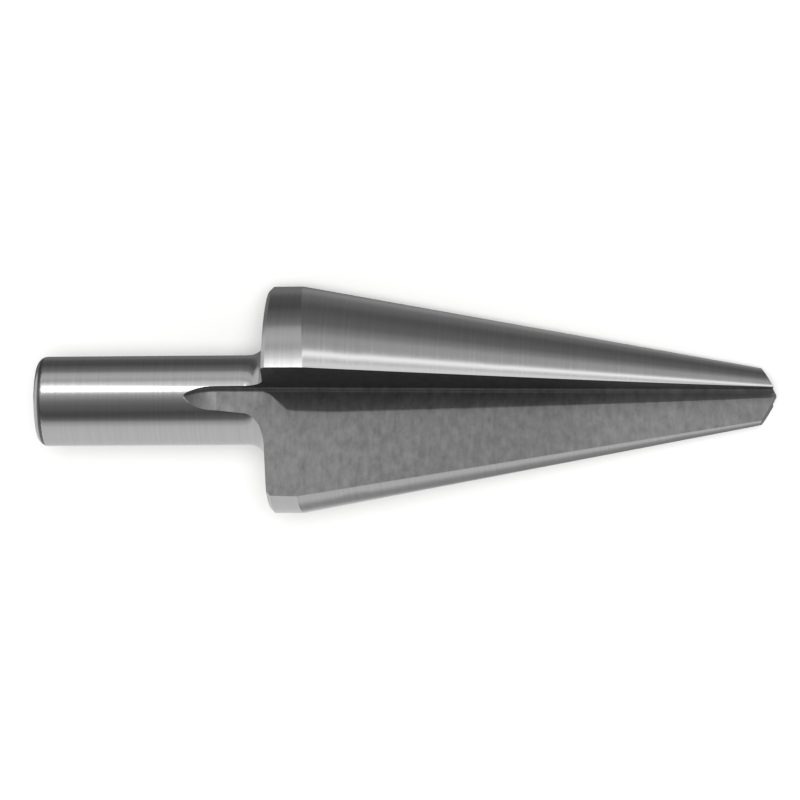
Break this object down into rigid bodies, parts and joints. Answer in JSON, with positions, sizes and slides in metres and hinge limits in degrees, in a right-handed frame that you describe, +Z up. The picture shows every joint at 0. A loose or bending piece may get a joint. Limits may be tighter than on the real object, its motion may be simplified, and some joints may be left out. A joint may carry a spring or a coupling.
{
  "type": "cone drill bit",
  "caption": "Tapered drill bit with straight flutes, a parallel land behind the cone and a plain round shank, lying on its side.",
  "frame": {"origin": "on the ground, below the middle of the laid-down bit", "axes": "+X towards the point, +Y to the bit's left seen from the shank, +Z up; the bit's own axis dips 8.5 degrees below +X"},
  "size_m": [0.0656, 0.0202, 0.0166],
  "materials": {
    "ground_tool_steel": "ground, bright"
  },
  "bodies": {
    "root": {"cone_drill_bit": "ground_tool_steel"}
  },
  "joints": []
}
